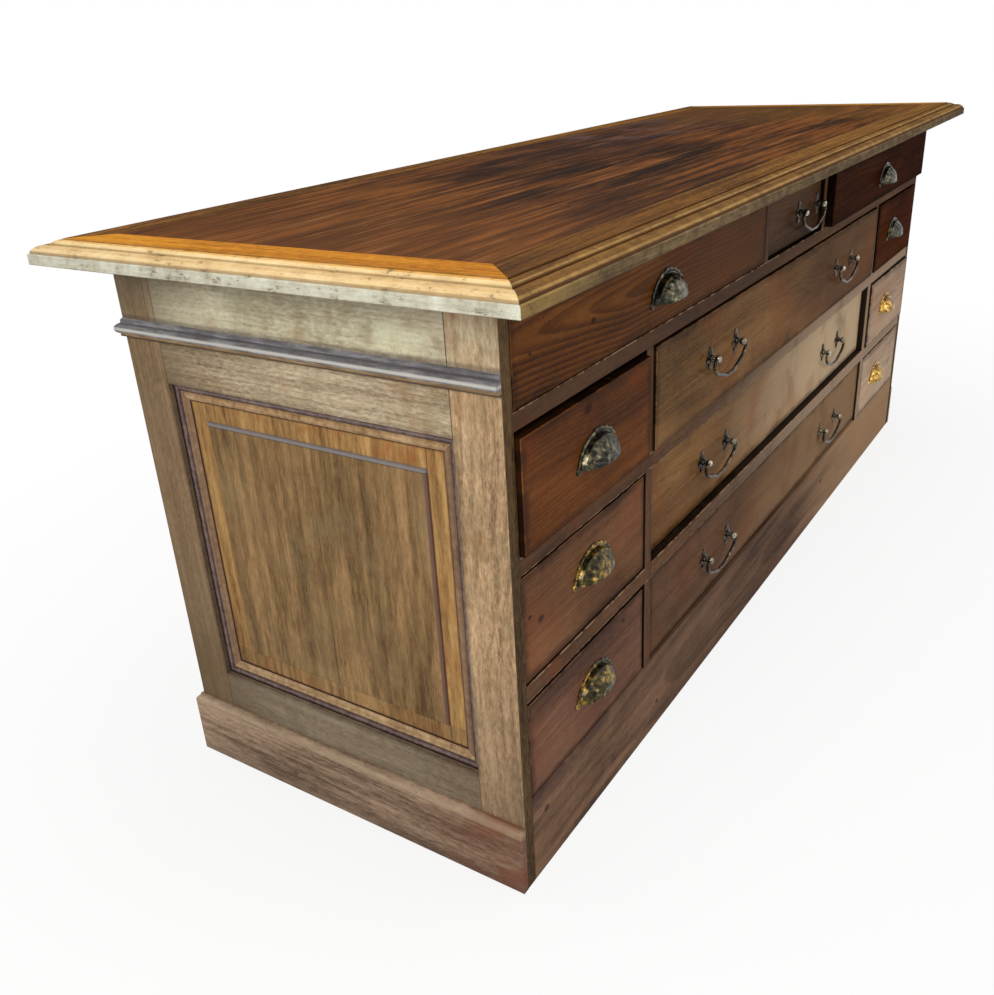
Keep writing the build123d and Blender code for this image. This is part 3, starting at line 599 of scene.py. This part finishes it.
# ---- the top
def top_field_finish():
    """Dark, streaky boards: warmer and lighter near the left end, blacker towards the far side under a painted
    purple sheen.
    """
    f = Finish("top_boards_wood")
    pitch = (field_high.y - field_low.y) / 5
    board = ((f.y - field_low.y) / pitch).floor()
    inside = ((f.y - field_low.y) / pitch).fract()
    f.colour, tone = timber(f, f.x + board * 3.1, f.y + board * 0.7, f.z, 2.0, (116, 68, 28), (70, 40, 18),
                            (32, 18, 11),
                          rings=0.12, streak=1.8, cloud=1.6, fibre=1.0, spacing=0.007, under=0.03, slope=0.004,
                          fleck=(22.0, 320.0))
    age = clouds(f, 11.0, 4.0)
    near = f.x.step(-0.55, -1.05)
    f.stain(near * 0.3, (132, 78, 30))
    # Painted sheen: a dark purple cast over the middle and far side.
    purple = f.x.step(-0.6, 0.2) * f.y.step(-0.2, 0.25)
    f.stain(purple * 0.45, (52, 36, 34))
    far = (f.x + (age - 0.5) * 0.6).step(0.45, 0.8)
    f.stain(far * 0.4, (118, 80, 36))
    # Purple-grey scuffs towards the far side: dust and painted sheen.
    dusty = (f.x - 0.35).abs().step(0.45, 0.1) * f.y.step(-0.05, 0.15) * clouds(f, 17.0, 9.0, 4.0).step(0.46, 0.64)
    f.stain(dusty * 0.4, (104, 84, 80))
    long_ = f.noise(f.vector(f.x * 3.0, f.y * 46.0, 2.0), detail=5.0, rough=0.65)
    f.stain(long_.step(0.52, 0.68) * 0.5, (44, 25, 17))
    f.stain(long_.step(0.44, 0.32) * 0.4, (150, 100, 60))
    scuffs = f.noise(f.vector(f.x * 26.0, f.y * 300.0, 5.0), detail=3.0, rough=0.6).step(0.66, 0.74)
    f.stain(scuffs * age.step(0.45, 0.6) * 0.35, (176, 138, 100))
    joint = (inside - 0.5).abs().step(0.4915, 0.4980)
    f.stain(joint * 0.55, (24, 14, 10))
    dust = clouds(f, 21.0, 38.0, 3.0).step(0.68, 0.76)
    f.stain(dust * 0.3, (150, 120, 96))
    rough = 0.30 + (age - 0.5) * 0.35 + scuffs * 0.1
    return f.surface(rough, tone * 0.6 - joint * 0.8, depth=0.0005, strength=0.4)


def top_border_finish():
    """Amber boards; the moulded edge is rubbed and dusty, nearly white along the left end, with painted highlight
    stripes and lines and painted shade in its grooves.
    """
    f = Finish("top_border_wood")
    middle = (top_low.y + top_high.y) / 2
    half_x, half_y = top_high.x, (top_high.y - top_low.y) / 2
    in_x = half_x - f.x.abs()
    in_y = half_y - (f.y - middle).abs()
    end_board = in_x < in_y
    left = end_board * (f.x < 0.0)
    right = end_board * (f.x > 0.0)
    front = (1.0 - end_board) * (f.y < middle)
    inward = in_x.least(in_y)
    gold_f, tone_a = timber(f, f.x, f.y, f.z, 1.0, (148, 100, 40), (104, 68, 28), (52, 32, 14), rings=0.15,
                            streak=1.5)
    gold_e, tone_b = timber(f, f.y, f.x, f.z, 4.0, (206, 142, 44), (182, 116, 28), (136, 80, 20), rings=0.12,
                            streak=0.9)
    f.colour, tone = f.tint(end_board, gold_f, gold_e), f.choose(end_board, tone_a, tone_b)
    f.stain(right * 0.55, (140, 98, 44))
    age = clouds(f, 9.0, 10.0)
    f.stain(age.step(0.52, 0.74) * (1.0 - left) * 0.4, (78, 48, 24))
    f.stain(front * f.x.step(-0.2, -0.9) * 0.6, (74, 44, 16))
    far_front = front * f.x.step(-0.7, 0.8)
    f.stain(far_front * 0.5, (128, 90, 44))
    edge = inward.step(0.0385, 0.0355)
    fascia = (f.z < top_high.z - 0.0165) * inward.step(0.004, 0.002)
    worn = clouds(f, 31.0, 30.0, 4.0)
    cream = f.ramp(worn * 0.6 + tone * 0.4, (0.3, srgb(222, 198, 152)), (0.52, srgb(190, 154, 92)),
                   (0.72, srgb(136, 98, 50)))
    gold_edge = f.ramp(worn * 0.6 + tone * 0.4, (0.2, srgb(150, 112, 56)), (0.52, srgb(110, 76, 36)),
                       (0.85, srgb(60, 38, 18)))
    f.stain(edge, f.tint(left, gold_edge, cream))
    # Painted highlights: light stripes along the members of the left end's moulding.
    bands = f.tint(inward.step(0.0310, 0.0290), (214, 150, 64), (232, 208, 160))
    bands = f.tint(inward.step(0.0215, 0.0195), bands, (206, 176, 134))
    bands = f.tint(inward.step(0.0100, 0.0080), bands, (226, 202, 160))
    f.stain(edge * left * 0.5, bands)
    chalk = f.ramp(worn * 0.7 + tone * 0.3, (0.3, srgb(206, 206, 192)), (0.55, srgb(172, 168, 150)),
                   (0.74, srgb(104, 96, 80)))
    drab = f.ramp(worn * 0.6 + tone * 0.4, (0.25, srgb(134, 112, 78)), (0.52, srgb(96, 77, 52)),
                  (0.8, srgb(60, 45, 30)))
    drab = f.tint(f.x.step(-0.95, -1.12) * 0.6, drab, (150, 120, 66))
    f.stain(fascia, f.tint(left, drab, chalk))
    # Painted highlight lines along the front's moulding.
    lit = line(inward, 0.0058, 0.0022).most(line(inward, 0.0262, 0.0018)) * front * (1.25 - worn * 1.2)
    f.stain(lit * 0.6, (184, 150, 92))
    # Painted shade in the moulding's grooves.
    grooves = line(inward, 0.0368, 0.0018).most(line(inward, 0.0232, 0.0016)).most(line(inward, 0.0032, 0.0014))
    f.stain(grooves * f.choose(left, 0.75, 0.45), (70, 42, 20))
    mitre = line(in_x - in_y, 0.0, 0.0009) * (inward > 0.0)
    f.stain(mitre * 0.6, (60, 34, 16))
    joint = line(inward, 0.092, 0.0026)
    f.stain(joint * 0.85, (26, 14, 8))
    pits = f.noise(f.vector(f.x * 90.0, f.y * 60.0, f.z * 220.0), detail=4.0, rough=0.7).step(0.56, 0.64)
    f.stain(pits * edge * worn.step(0.42, 0.56) * 0.6, (74, 60, 44))
    f.stain(specks(f, 13.0) * edge * 0.8, (54, 44, 34))
    below = f.z.step(top_low.z + 0.0012, top_low.z + 0.0002)
    f.stain(below * 0.7, (84, 62, 42))
    rough = f.choose(edge, 0.3 + (age - 0.5) * 0.3, 0.45)
    return f.surface(rough, tone * 0.5 + worn * edge - mitre - joint, depth=0.0005, strength=0.45)


dress("top_field", top_field_finish())
dress("top_border", top_border_finish())


# ---- brasses
def metal(name, dark, mid, light, rough, relief=0.0005):
    """Cast brass gone dull in its hollows and bright where fingers rub it."""
    f = Finish(name)
    fine = f.noise(f.place, 110.0, 5.0, 0.65)
    broad = f.noise(f.place, 30.0, 3.0, 0.6)
    mix = fine * 0.55 + broad * 0.45
    f.colour = f.ramp(mix, (0.38, srgb(*dark)), (0.5, srgb(*mid)), (0.62, srgb(*light)))
    return f.surface(rough + (fine - 0.5) * 0.3, fine, metallic=0.9, depth=relief, strength=0.45)


aged = metal("aged_brass", (16, 15, 11), (46, 43, 32), (118, 110, 84), 0.3, relief=0.0008)
olive = metal("olive_brass", (20, 18, 10), (62, 54, 28), (178, 142, 62), 0.3, relief=0.0008)
bright = metal("polished_brass", (70, 48, 18), (150, 112, 46), (226, 190, 104), 0.26)
bronze = metal("dark_bronze", (18, 15, 11), (42, 35, 26), (120, 104, 78), 0.32)
knob_metal = metal("rubbed_knobs", (70, 66, 56), (130, 122, 104), (206, 200, 184), 0.22)
CUP_METAL = {"left_2": olive, "left_3": olive, "right_2": bright, "right_3": bright}


class Casting:
    """Collects surfaces given by functions of two shares, and makes them one closed, smooth piece."""

    def __init__(self):
        self.points, self.faces, self.slots = [], [], []

    def patch(self, rows, columns, place, slot=0, ring=False):
        start = len(self.points)
        wide = columns if ring else columns + 1
        for i in range(rows + 1):
            for j in range(wide):
                self.points.append(place(i / rows, j / columns))
        for i in range(rows):
            for j in range(columns):
                a, b = start + i * wide + j, start + i * wide + (j + 1) % wide
                self.faces.append((a, b, b + wide, a + wide))
                self.slots.append(slot)

    def lathe(self, centre, axis, profile, sides=24, slot=0):
        """profile lists (distance along axis, radius)."""
        axis = Vector(axis).normalized()
        side = axis.orthogonal().normalized()
        other = axis.cross(side)
        count = len(profile) - 1

        def place(u, v):
            along, radius = profile[round(u * count)]
            angle = 2 * math.pi * v
            return Vector(centre) + axis * along + (side * math.cos(angle) + other * math.sin(angle)) * radius
        self.patch(count, sides, place, slot, ring=True)

    def piece(self, name, metals):
        mesh = bpy.data.meshes.new(name)
        mesh.from_pydata([tuple(p) for p in self.points], [], self.faces)
        for one in metals:
            mesh.materials.append(one)
        mesh.polygons.foreach_set("material_index", self.slots)
        work = bmesh.new()
        work.from_mesh(mesh)
        bmesh.ops.remove_doubles(work, verts=work.verts, dist=0.000004)
        bmesh.ops.recalc_face_normals(work, faces=work.faces)
        for face in work.faces:
            face.smooth = True
        work.to_mesh(mesh)
        work.free()
        mesh.set_sharp_from_angle(angle=math.radians(50))
        made = bpy.data.objects.new(name, mesh)
        bpy.context.scene.collection.objects.link(made)
        return made


def bell(x, at, width):
    return math.exp(-((x - at) / width) ** 2)


OUT = Vector((0.0, -1.0, 0.0))


def line_tree(name, sizes, parts, links):
    """A node tree that makes a line into metal: its named sizes, its own nodes and the links between them."""
    tree = bpy.data.node_groups.new(name, "GeometryNodeTree")
    tree.interface.new_socket(name="Geometry", in_out="OUTPUT", socket_type="NodeSocketGeometry")
    for label, kind in (("Line", "Geometry"), *sizes, ("Metal", "Material")):
        tree.interface.new_socket(name=label, in_out="INPUT", socket_type="NodeSocket" + kind)
    made = {key: tree.nodes.new(kind) for key, kind in (
        ("in", "NodeGroupInput"), *parts, ("real", "GeometryNodeRealizeInstances"),
        ("smooth", "GeometryNodeSetShadeSmooth"), ("paint", "GeometryNodeSetMaterial"), ("out", "NodeGroupOutput"))}
    for a, b, c, d in (*links, ("real", 0, "smooth", 0), ("smooth", 0, "paint", 0),
                       ("in", "Metal", "paint", "Material"), ("paint", 0, "out", 0)):
        tree.links.new(made[a].outputs[b], made[c].inputs[d])
    return tree, made


# A row of cast beads along a line
beads, made = line_tree("bead_row", (("Bead radius", "Float"), ("Bead count", "Int")), (
    ("curve", "GeometryNodeMeshToCurve"), ("resample", "GeometryNodeResampleCurve"),
    ("ball", "GeometryNodeMeshIcoSphere"), ("place", "GeometryNodeInstanceOnPoints")), (
    ("in", "Line", "curve", 0), ("curve", 0, "resample", 0), ("in", "Bead count", "resample", "Count"),
    ("resample", 0, "place", "Points"), ("in", "Bead radius", "ball", "Radius"),
    ("ball", 0, "place", "Instance"), ("place", 0, "real", 0)))
made["ball"].inputs["Subdivisions"].default_value = 2

# A rod that swells and thins along its line
rods, made = line_tree("shaped_rod", (("Rod radius", "Float"), ("Sides", "Int")), (
    ("profile", "GeometryNodeCurvePrimitiveCircle"), ("sweep", "GeometryNodeCurveToMesh")), (
    ("in", "Line", "sweep", 0), ("in", "Sides", "profile", "Resolution"),
    ("in", "Rod radius", "profile", "Radius"), ("profile", 0, "sweep", 1), ("sweep", 0, "real", 0)))
made["sweep"].inputs["Fill Caps"].default_value = True


def grow(name, source, tree, **inputs):
    """Runs a tree on a line and returns the result as a plain mesh piece."""
    bpy.context.scene.collection.objects.link(source)
    modifier = source.modifiers.new("grow", "NODES")
    modifier.node_group = tree
    ids = {item.name: item.identifier for item in tree.interface.items_tree if item.in_out == "INPUT"}
    for key, value in inputs.items():
        modifier[ids[key.replace("_", " ")]] = value
    depsgraph = bpy.context.evaluated_depsgraph_get()
    mesh = bpy.data.meshes.new_from_object(source.evaluated_get(depsgraph))
    mesh.name = name
    bpy.data.objects.remove(source)
    made = bpy.data.objects.new(name, mesh)
    bpy.context.scene.collection.objects.link(made)
    return made


def polyline(name, points):
    mesh = bpy.data.meshes.new(name)
    mesh.from_pydata([tuple(p) for p in points], [(i, i + 1) for i in range(len(points) - 1)], [])
    return bpy.data.objects.new(name, mesh)


HOOD_W, HOOD_H, HOOD_D, FLANGE, SHELL = 0.050, 0.036, 0.0245, 0.008, 0.0018
HOOD_ROWS, FLANGE_ROWS = 0.72, 0.28  # shares of the skin's rows
SCALLOPS, FLUTES = 22, 6.5


def cup_pull(node, brass):
    """An embossed shell: fluted hood, bead row, scalloped flange with a small crest, ears with slotted screws."""
    low, high = corners(node)
    middle, face_y, lip = (low.x + high.x) / 2, high.y, high.z - HOOD_H - FLANGE

    def outline(turn):
        crest = 0.0022 * bell(turn, math.pi / 2, 0.12)
        return FLANGE * (0.92 + 0.10 * math.cos(SCALLOPS * turn)) + crest

    def skin(inset):
        def place(v, u):
            turn = math.pi * u
            if v <= HOOD_ROWS:
                s = math.sin(v / HOOD_ROWS * math.pi / 2)
                deep = HOOD_D * math.sqrt(max(0.0, 1 - s * s))
                fan = abs(math.cos(FLUTES * (turn - math.pi / 2))) * 0.0013 * bell(s, 0.62, 0.24)
                ring = 0.0010 * bell(s, 0.93, 0.03) + 0.0012 * bell(s, 0.30, 0.07)
                boss = 0.0013 * bell(s, 0.0, 0.16)
                curl = 0.0006 * math.sin(16 * turn) * bell(s, 0.82, 0.06)
                lift = 0.0 if inset else fan + ring + boss + curl
                k = 1 - inset * SHELL / HOOD_D
                x, z = HOOD_W * k * s * math.cos(turn), HOOD_H * k * s * math.sin(turn)
                normal = Vector((x / HOOD_W ** 2, -deep / HOOD_D ** 2, z / HOOD_H ** 2)).normalized()
                return Vector((middle + x, face_y - deep * k, lip + z)) + normal * lift
            w = (v - HOOD_ROWS) / FLANGE_ROWS
            edge = outline(turn) * w
            deep = 0.0 if inset else 0.0019 + 0.0009 * bell(w, 0.55, 0.2) + 0.0004 * math.cos(SCALLOPS * turn) * w
            return Vector((middle + (HOOD_W + edge) * math.cos(turn), face_y - deep,
                           lip + (HOOD_H + edge) * math.sin(turn)))
        return place

    form = Casting()
    front, back = skin(0), skin(1)
    form.patch(44, 120, front)
    form.patch(44, 60, back)
    form.patch(1, 120, lambda v, u: front(1.0, u) * (1 - v) + back(1.0, u) * v)
    for u in (0.0, 1.0):
        form.patch(1, 44, lambda v, t, u=u: front(t, u) * (1 - v) + back(t, u) * v)
    for way in (-1, 1):
        ear = Vector((middle + way * (HOOD_W + FLANGE * 0.55), face_y, lip - 0.0002))
        form.lathe(ear, OUT, [(0, 0), (0, 0.0056), (0.0018, 0.0056), (0.0026, 0.0048), (0.0026, 0.0036),
                              (0.0022, 0)], 20)

        def screw(v, u, ear=ear):
            angle, radius = 2 * math.pi * u, 0.0032 * v
            x, z = radius * math.cos(angle), radius * math.sin(angle)
            slot = 0.0008 if abs(x * 0.8 + z * 0.6) < 0.0004 else 0.0
            head = 0.0024 + 0.0013 * math.sqrt(max(0.0, 1 - (v * 0.98) ** 2)) - slot * (v < 0.95)
            return ear + Vector((x, -head, z))
        form.patch(6, 32, screw, ring=True)
    made = form.piece(node.replace("cup_pull", "shell_pull"), [brass])
    turns = [math.pi * (0.04 + 0.92 * i / 60) for i in range(61)]
    beaded = [Vector((middle + (HOOD_W + FLANGE * 0.42) * math.cos(turn), face_y - 0.0024,
                      lip + (HOOD_H + FLANGE * 0.42) * math.sin(turn))) for turn in turns]
    row = grow(node.replace("cup_pull", "pull_beading"), polyline("row", beaded), beads, Bead_radius=0.0013,
               Bead_count=46, Metal=brass)
    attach(made, body_of[node])
    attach(row, body_of[node])
    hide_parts(node)


ROSE_H, ROSE_W = 0.021, 0.017


def rose(form, centre):
    """Four leaf points, domed and veined, on a scalloped middle."""
    def reach(angle):
        upright = abs(math.sin(angle)) > abs(math.cos(angle))
        tip = ROSE_H if upright else ROSE_W
        waist = 0.0098 + 0.0014 * abs(math.sin(4 * angle))
        return waist + (tip - waist) * abs(math.cos(2 * angle)) ** 1.5

    def at(share, u, out):
        angle = 2 * math.pi * u
        radius = reach(angle) * share
        return centre + Vector((radius * math.cos(angle), -out, radius * math.sin(angle)))

    def front(v, u):
        vein = bell(math.sin(4 * math.pi * u), 0.0, 0.2) * math.sin(math.pi * v)
        return at(v, u, 0.0013 + 0.0027 * (1 - v) ** 0.7 + 0.0007 * vein)

    form.patch(8, 96, front, ring=True)
    form.patch(1, 96, lambda v, u: at(1.0, u, 0.0013 * (1 - v)), ring=True)
    form.patch(1, 96, lambda v, u: at(v, u, 0.0), ring=True)


POST_X = 0.058  # from a bail's middle to each of its posts
# A turned post's distances from the rose's foot, and its radii there; the knob starts at its narrowest
POST = [(0.0, 0.0), (0.0, 0.0062), (0.0034, 0.0062), (0.0044, 0.0050), (0.0060, 0.0034), (0.0086, 0.0030),
        (0.0096, 0.0036), (0.0102, 0.0048), (0.0114, 0.0058), (0.0132, 0.0066), (0.0152, 0.0069), (0.0172, 0.0064),
        (0.0190, 0.0052), (0.0202, 0.0036), (0.0208, 0.0016), (0.0210, 0.0)]


def bail_fixings(node):
    """Roses, turned posts with rubbed knobs, shanks and square nuts of one drawer's bails."""
    body = body_of[node]
    form = Casting()
    drawer = node.removeprefix("bail_posts_")
    low, high = corners(f"front_{drawer}")
    for child, pivot in pivots.items():
        if not child.startswith(f"bail_{drawer}"):
            continue
        for way in (-1, 1):
            foot = Vector((pivot.x + way * POST_X, low.y, pivot.z))
            rose(form, foot)
            form.lathe(foot + OUT * 0.0024, OUT, POST[:8], 20, 0)
            form.lathe(foot, OUT, [(0.0096, 0.0), (0.0096, 0.0036)] + POST[7:], 20, 1)
            inside = foot - OUT * (high.y - low.y)
            form.lathe(inside, -OUT, [(-0.005, 0.0), (-0.005, 0.003), (0.0035, 0.003), (0.0046, 0.0024),
                                      (0.005, 0.0)], 16, 0)
            form.lathe(inside, -OUT, [(0.0, 0.0), (0.0, 0.0066), (0.0032, 0.0066), (0.0035, 0.0058),
                                      (0.0035, 0.0)], 4, 0)
    made = form.piece(node.replace("bail_posts", "roses_and_posts"), [bronze, knob_metal])
    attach(made, body)
    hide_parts(node)


# Half of a bail's line from its pin to the middle: distance out, drop, thickness
BAIL_LINE = [(0.0545, 0.0, 0.62), (0.0600, 0.0, 0.66), (0.0660, -0.0002, 0.74), (0.0700, -0.0028, 0.82),
             (0.0712, -0.0080, 0.88),
             (0.0700, -0.0145, 0.92), (0.0655, -0.0205, 0.96), (0.0580, -0.0255, 1.0), (0.0490, -0.0290, 1.04),
             (0.0400, -0.0318, 1.06), (0.0320, -0.0345, 1.04), (0.0255, -0.0372, 1.0), (0.0215, -0.0388, 1.0),
             (0.0190, -0.0395, 1.6), (0.0165, -0.0399, 0.9), (0.0140, -0.0400, 1.7), (0.0112, -0.0400, 0.95),
             (0.0084, -0.0400, 1.8), (0.0056, -0.0400, 1.0), (0.0028, -0.0400, 1.9), (0.0, -0.0400, 1.2)]


def bail(node):
    """The swinging part: a rod that runs out of its posts, down in a swan's neck, to a turned grip."""
    pivot = pivots[node]
    half = [(pivot.x + x, pivot.y, pivot.z + z, r) for x, z, r in BAIL_LINE]
    other = [(2 * pivot.x - x, y, z, r) for x, y, z, r in reversed(half[:-1])]
    points = half + other
    curve = bpy.data.curves.new("line", "CURVE")
    curve.dimensions = "3D"
    spline = curve.splines.new("NURBS")
    spline.points.add(len(points) - 1)
    for point, (x, y, z, r) in zip(spline.points, points):
        point.co, point.radius = (x, y, z, 1.0), r
    spline.order_u, spline.use_endpoint_u, spline.resolution_u = 3, True, 8
    made = grow(node.replace("bail", "swan_neck_bail"), bpy.data.objects.new("line", curve), rods,
                Rod_radius=0.0032,
                Sides=14, Metal=bronze)
    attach(made, body_of[node])
    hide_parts(node)


for node in sorted(nodes):
    if node.startswith("cup_pull"):
        cup_pull(node, CUP_METAL.get(node.removeprefix("cup_pull_"), aged))
    elif node.startswith("bail_posts"):
        bail_fixings(node)
    elif node.startswith("bail_"):
        bail(node)


# ---- room, light and camera
def white_when_seen(tree, light, dull, share):
    """dull, and light where the camera, a gloss or a glass looks at it; share is a number or a socket."""
    path = tree.nodes.new("ShaderNodeLightPath")
    seen = path.outputs["Is Camera Ray"]
    for kind in ("Is Glossy Ray", "Is Transmission Ray"):
        add = tree.nodes.new("ShaderNodeMath")
        add.operation, add.use_clamp = "ADD", True
        tree.links.new(seen, add.inputs[0])
        tree.links.new(path.outputs[kind], add.inputs[1])
        seen = add.outputs[0]
    scale = tree.nodes.new("ShaderNodeMath")
    scale.operation = "MULTIPLY"
    if isinstance(share, float):
        scale.inputs[1].default_value = share
    else:
        tree.links.new(share, scale.inputs[1])
    tree.links.new(seen, scale.inputs[0])
    mixer = tree.nodes.new("ShaderNodeMixShader")
    tree.links.new(scale.outputs[0], mixer.inputs[0])
    tree.links.new(dull.outputs[0], mixer.inputs[1])
    tree.links.new(light.outputs[0], mixer.inputs[2])
    return mixer


FLOOR_HALF, FLOOR_Z = 60, -0.0006
floor_finish = Finish("pale_floor")
tree = floor_finish.tree
dull = tree.nodes.new("ShaderNodeBsdfDiffuse")
dull.inputs[0].default_value = (0.8, 0.8, 0.8, 1)
glow = tree.nodes.new("ShaderNodeEmission")
glow.inputs[0].default_value = (1, 1, 1, 1)
out = tree.nodes.new("ShaderNodeOutputMaterial")
apart = (floor_finish.x * floor_finish.x * 0.5 + floor_finish.y * floor_finish.y).sqrt()
whitening = 0.82 + apart.step(0.8, 2.0) * 0.18
tree.links.new(white_when_seen(tree, glow, dull, whitening.socket).outputs[0], out.inputs[0])
mesh = bpy.data.meshes.new("floor")
mesh.from_pydata([(x * FLOOR_HALF, y * FLOOR_HALF, FLOOR_Z) for x, y in ((-1, -1), (1, -1), (1, 1), (-1, 1))], [],
                 [(0, 1, 2, 3)])
mesh.materials.append(floor_finish.material)
floor = bpy.data.objects.new("floor", mesh)
bpy.context.scene.collection.objects.link(floor)

world = bpy.data.worlds.new("room")
world.use_nodes = True
bpy.context.scene.world = world
tree = world.node_tree
tree.nodes.clear()
room = tree.nodes.new("ShaderNodeBackground")
room.inputs[0].default_value = (0.96, 0.98, 1.0, 1)
room.inputs[1].default_value = 0.36
white = tree.nodes.new("ShaderNodeBackground")
white.inputs[0].default_value = (1, 1, 1, 1)
out = tree.nodes.new("ShaderNodeOutputWorld")
tree.links.new(white_when_seen(tree, white, room, 1.0).outputs[0], out.inputs[0])


def softbox(name, place, aim, size, power, colour=(1, 1, 1)):
    lamp = bpy.data.lights.new(name, "AREA")
    lamp.shape, lamp.size, lamp.size_y = "RECTANGLE", size[0], size[1]
    lamp.energy, lamp.color = power, colour
    piece = bpy.data.objects.new(name, lamp)
    bpy.context.scene.collection.objects.link(piece)
    piece.matrix_world = (Matrix.Translation(place)
                          @ (Vector(aim) - Vector(place)).to_track_quat("-Z", "Y").to_matrix().to_4x4())


softbox("window_left", (-3.4, -0.9, 2.2), (-1.1, 0.0, 0.7), (1.6, 1.4), 72, (1.0, 0.97, 0.9))
softbox("overhead", (0.2, -0.4, 4.0), (0.0, 0.1, 0.6), (3.5, 2.5), 72)
softbox("back_fill", (-0.6, 4.2, 2.0), (0.0, 0.3, 0.45), (3.0, 2.0), 45)
softbox("front_fill", (1.2, -4.0, 1.6), (0.6, 0.0, 0.4), (3.0, 2.0), 38)

lens = bpy.data.cameras.new("camera")
lens.lens, lens.sensor_width, lens.sensor_fit = 35.6517, 36.0, "HORIZONTAL"
lens.clip_start, lens.clip_end = 0.05, 200
camera = bpy.data.objects.new("camera", lens)
bpy.context.scene.collection.objects.link(camera)
right, up, back = ((0.54451756, -0.83700985, -0.05399203), (0.38087223, 0.18939757, 0.90502205),
                   (-0.74728641, -0.51336446, 0.42192411))
camera.matrix_world = (Matrix.Translation((-1.957011, -0.923070, 1.140140))
                       @ Matrix((right, up, back)).transposed().to_4x4())
bpy.context.scene.camera = camera
bpy.context.scene.view_settings.view_transform = "Standard"
